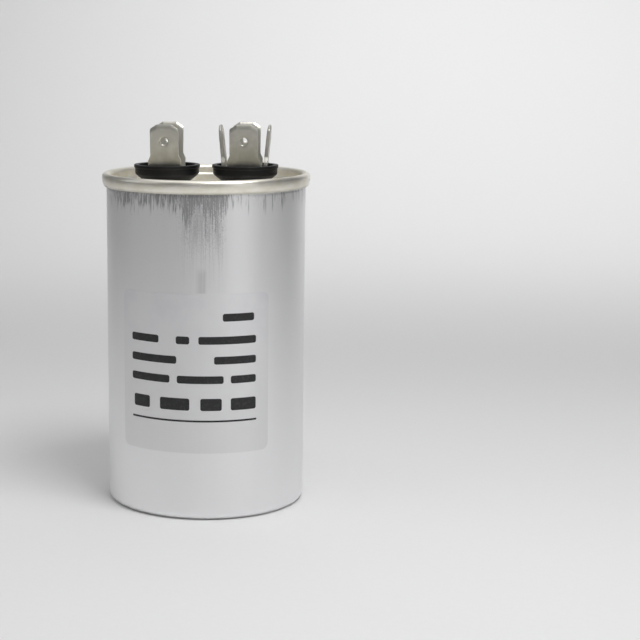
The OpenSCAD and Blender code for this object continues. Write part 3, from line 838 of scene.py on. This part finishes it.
# Finishes of the hidden pieces: dark and light colour, roughness, and how metallic they are.
INNER_FINISHES = {
    "seal_rubber": ((0.16, 0.035, 0.025), (0.24, 0.055, 0.04), 0.6, 0.0),
    "sealing_compound": ((0.22, 0.21, 0.18), (0.32, 0.30, 0.26), 0.55, 0.0),
    "wire_copper": ((0.62, 0.30, 0.19), (0.80, 0.45, 0.31), 0.32, 1.0),
    "wire_insulation": ((0.62, 0.58, 0.42), (0.72, 0.68, 0.52), 0.45, 0.0),
    "film_roll": ((0.52, 0.50, 0.44), (0.66, 0.64, 0.58), 0.35, 0.0),
    "core_plastic": ((0.72, 0.69, 0.60), (0.80, 0.78, 0.70), 0.5, 0.0),
    "zinc_spray": ((0.30, 0.31, 0.33), (0.48, 0.49, 0.51), 0.65, 0.8),
    "wrap_film": ((0.68, 0.64, 0.50), (0.78, 0.74, 0.60), 0.4, 0.0),
    "insulator_plastic": ((0.64, 0.64, 0.61), (0.74, 0.74, 0.71), 0.5, 0.0),
}
for slot, look in INNER_FINISHES.items():
    FINISHES[slot] = plain_inner(slot, *look)

# ------------------------------------------------------------------------------------------------
# The capacitor
# ------------------------------------------------------------------------------------------------

SMOOTH_ANGLE = math.radians(38)


def mesh_object(name, surface, material):
    """Mesh object from a surface in millimetres, smooth but for its sharp edges."""
    points, faces = surface
    mesh = bpy.data.meshes.new(name)
    mesh.vertices.add(len(points))
    mesh.vertices.foreach_set("co", (np.asarray(points, np.float32) * MM).ravel())
    mesh.loops.add(faces.size)
    mesh.loops.foreach_set("vertex_index", faces.astype(np.int32).ravel())
    mesh.polygons.add(len(faces))
    mesh.polygons.foreach_set("loop_start", np.arange(0, faces.size, faces.shape[1], dtype=np.int32))
    mesh.update(calc_edges=True)
    mesh.validate()
    bm = bmesh.new()
    bm.from_mesh(mesh)
    bmesh.ops.recalc_face_normals(bm, faces=bm.faces)
    bm.to_mesh(mesh)
    bm.free()
    mesh.shade_smooth()
    mesh.set_sharp_from_angle(angle=SMOOTH_ANGLE)
    mesh.materials.append(material)
    obj = bpy.data.objects.new(name, mesh)
    bpy.context.collection.objects.link(obj)
    return obj


def piece(name, surface, slot, stands_for=(), material=None):
    """Visible piece of the capacitor, in the finish of its slot unless it has a material of its own."""
    obj = mesh_object(name, surface, material or FINISHES[slot])
    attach(obj, "root")
    if stands_for:
        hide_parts(*stands_for)


SIDES = {"left": -TERMINAL_X, "right": TERMINAL_X}
LOWER_STRIP = (BUSH_FLOOR_Z, 0, TAB_HI[2], SPREAD)
CROSSED_STRIP = (BUSH_FLOOR_Z + TAB_T, 90, UPPER_HI[2], UPPER_SPREAD)

piece("can_shell", can_form(), "can_aluminium", ["can"])
lid = joined(lid_form(), collar_form(SIDES["left"]), collar_form(SIDES["right"]))
piece("lid_sheet", lid, "tinplate", ["lid"])
for side, x in SIDES.items():
    piece("terminal_cup_" + side, bush_form(x), "black_moulding", ["bush_" + side])

TAB_STRIPS = {
    "left": (SIDES["left"], *LOWER_STRIP),
    "right_lower": (SIDES["right"], *LOWER_STRIP),
    "right_upper": (SIDES["right"], *CROSSED_STRIP),
}
for name, placing in TAB_STRIPS.items():
    piece("strip_" + name, double_tab_form(*placing), "tinned_brass", ["double_tab_" + name])
rivet_left = rivet_form(SIDES["left"], 1, RIVET_LEFT_HI[2])
piece("rivet_head_left", rivet_left, "tinned_brass", ["rivet_left"])
rivet_right = rivet_form(SIDES["right"], 2, RIVET_RIGHT_HI[2])
piece("rivet_head_right", rivet_right, "tinned_brass", ["rivet_right"])

piece("label_sheet", label_form(), "label_film", ["label"])
piece("label_print", print_form(), "label_film", material=label_ink())

# The inner nodes keep their CAD meshes and get the finish of their slot.
SLOT_OF = {part["node"]: part["material_slot"] for part in frame["record"]["subparts"]}
DRESSED = {"can", "lid", "bush_left", "bush_right", "rivet_left", "rivet_right", "label"}
DRESSED.update("double_tab_" + name for name in TAB_STRIPS)
for node_name, node_object in frame["nodes"].items():
    if node_name not in DRESSED:
        node_object.data.materials.clear()
        node_object.data.materials.append(FINISHES[SLOT_OF[node_name]])

# ------------------------------------------------------------------------------------------------
# Stage, lamps and camera, in metres but for the stage
# ------------------------------------------------------------------------------------------------


def cove_form(left, right, front, flat_end, bend, top):
    """Table and backdrop: a level stretch, a quarter circle and an upright stretch, carried along X."""
    bend_arc = arc((flat_end, bend), bend, -90, 0, steps=32)
    profile = np.vstack([[[front, 0]], bend_arc, [[flat_end + bend, top]]])
    x = np.repeat([left, right], len(profile))
    points = np.column_stack([x, np.tile(profile, (2, 1))])
    return points, grid_faces(2, len(profile))


table_surface = cove_form(left=-500, right=700, front=-900, flat_end=450, bend=350, top=900)
table = mesh_object("table", table_surface, matt_card())


def around(degrees, distance, height):
    """Place at that angle round the capacitor from its front, growing towards +X."""
    a = math.radians(degrees)
    return (distance * math.sin(a), -distance * math.cos(a), height)


def area_lamp(name, place, target, size, watts):
    """Soft rectangular lamp that faces a target and isn't seen itself."""
    light = bpy.data.lights.new(name, "AREA")
    light.shape = "RECTANGLE"
    light.size, light.size_y = size
    light.energy = watts
    lamp = bpy.data.objects.new(name, light)
    bpy.context.collection.objects.link(lamp)
    lamp.location = place
    lamp.rotation_euler = (Vector(target) - Vector(place)).to_track_quat("-Z", "Y").to_euler()
    lamp.visible_camera = False
    return light


BODY = (0, 0, 0.06)
FOOT = (0, 0, 0)
BACKDROP = (0.17, 0.80, 0.06)
LAMP_DISTANCE = 0.38
BACKDROP_SPREAD = 130

FRONT_PLACE = around(15, LAMP_DISTANCE, height=0.30)
LEFT_PLACE = around(-75, LAMP_DISTANCE, height=0.30)
RIGHT_PLACE = around(45, LAMP_DISTANCE, height=0.12)
EDGE_PLACE = around(80, LAMP_DISTANCE, height=0.12)

area_lamp("lamp_front", FRONT_PLACE, BODY, size=(0.50, 0.50), watts=0.24)
area_lamp("lamp_left", LEFT_PLACE, BODY, size=(0.40, 0.40), watts=0.19)
area_lamp("lamp_right", RIGHT_PLACE, BODY, size=(0.20, 0.20), watts=0.07)
area_lamp("lamp_edge", EDGE_PLACE, BODY, size=(0.20, 0.20), watts=0.015)
area_lamp("lamp_near", (0.10, -0.12, 0.32), FOOT, size=(0.14, 0.14), watts=0.52)
area_lamp("lamp_top", (0, 0.10, 0.80), FOOT, size=(0.9, 0.9), watts=2.0)
backdrop_light = area_lamp("lamp_backdrop", (0.13, 0.30, 0.50), BACKDROP, size=(0.6, 0.2), watts=1.18)
backdrop_light.spread = math.radians(BACKDROP_SPREAD)

WORLD_STRENGTH = 0.185
world = bpy.data.worlds.new("studio")
world.use_nodes = True
background = world.node_tree.nodes["Background"]
background.inputs["Color"].default_value = (1.0, 1.0, 1.0, 1)
background.inputs["Strength"].default_value = WORLD_STRENGTH
bpy.context.scene.world = world

CAMERA_AZIMUTH = 5.0
CAMERA_DISTANCE = 0.3611
CAMERA_HEIGHT = 0.1051
CAMERA_PITCH = 10.07

camera_data = bpy.data.cameras.new("camera")
camera_data.lens = 89.8
camera_data.sensor_width = 36
camera_data.shift_x = 0.178
camera_data.clip_start = 0.01
camera_data.clip_end = 20
camera = bpy.data.objects.new("camera", camera_data)
bpy.context.collection.objects.link(camera)
camera.location = around(CAMERA_AZIMUTH, CAMERA_DISTANCE, CAMERA_HEIGHT)
camera.rotation_euler = (math.radians(90 - CAMERA_PITCH), 0, math.radians(CAMERA_AZIMUTH))

scene = bpy.context.scene
scene.camera = camera
scene.view_settings.view_transform = "Standard"
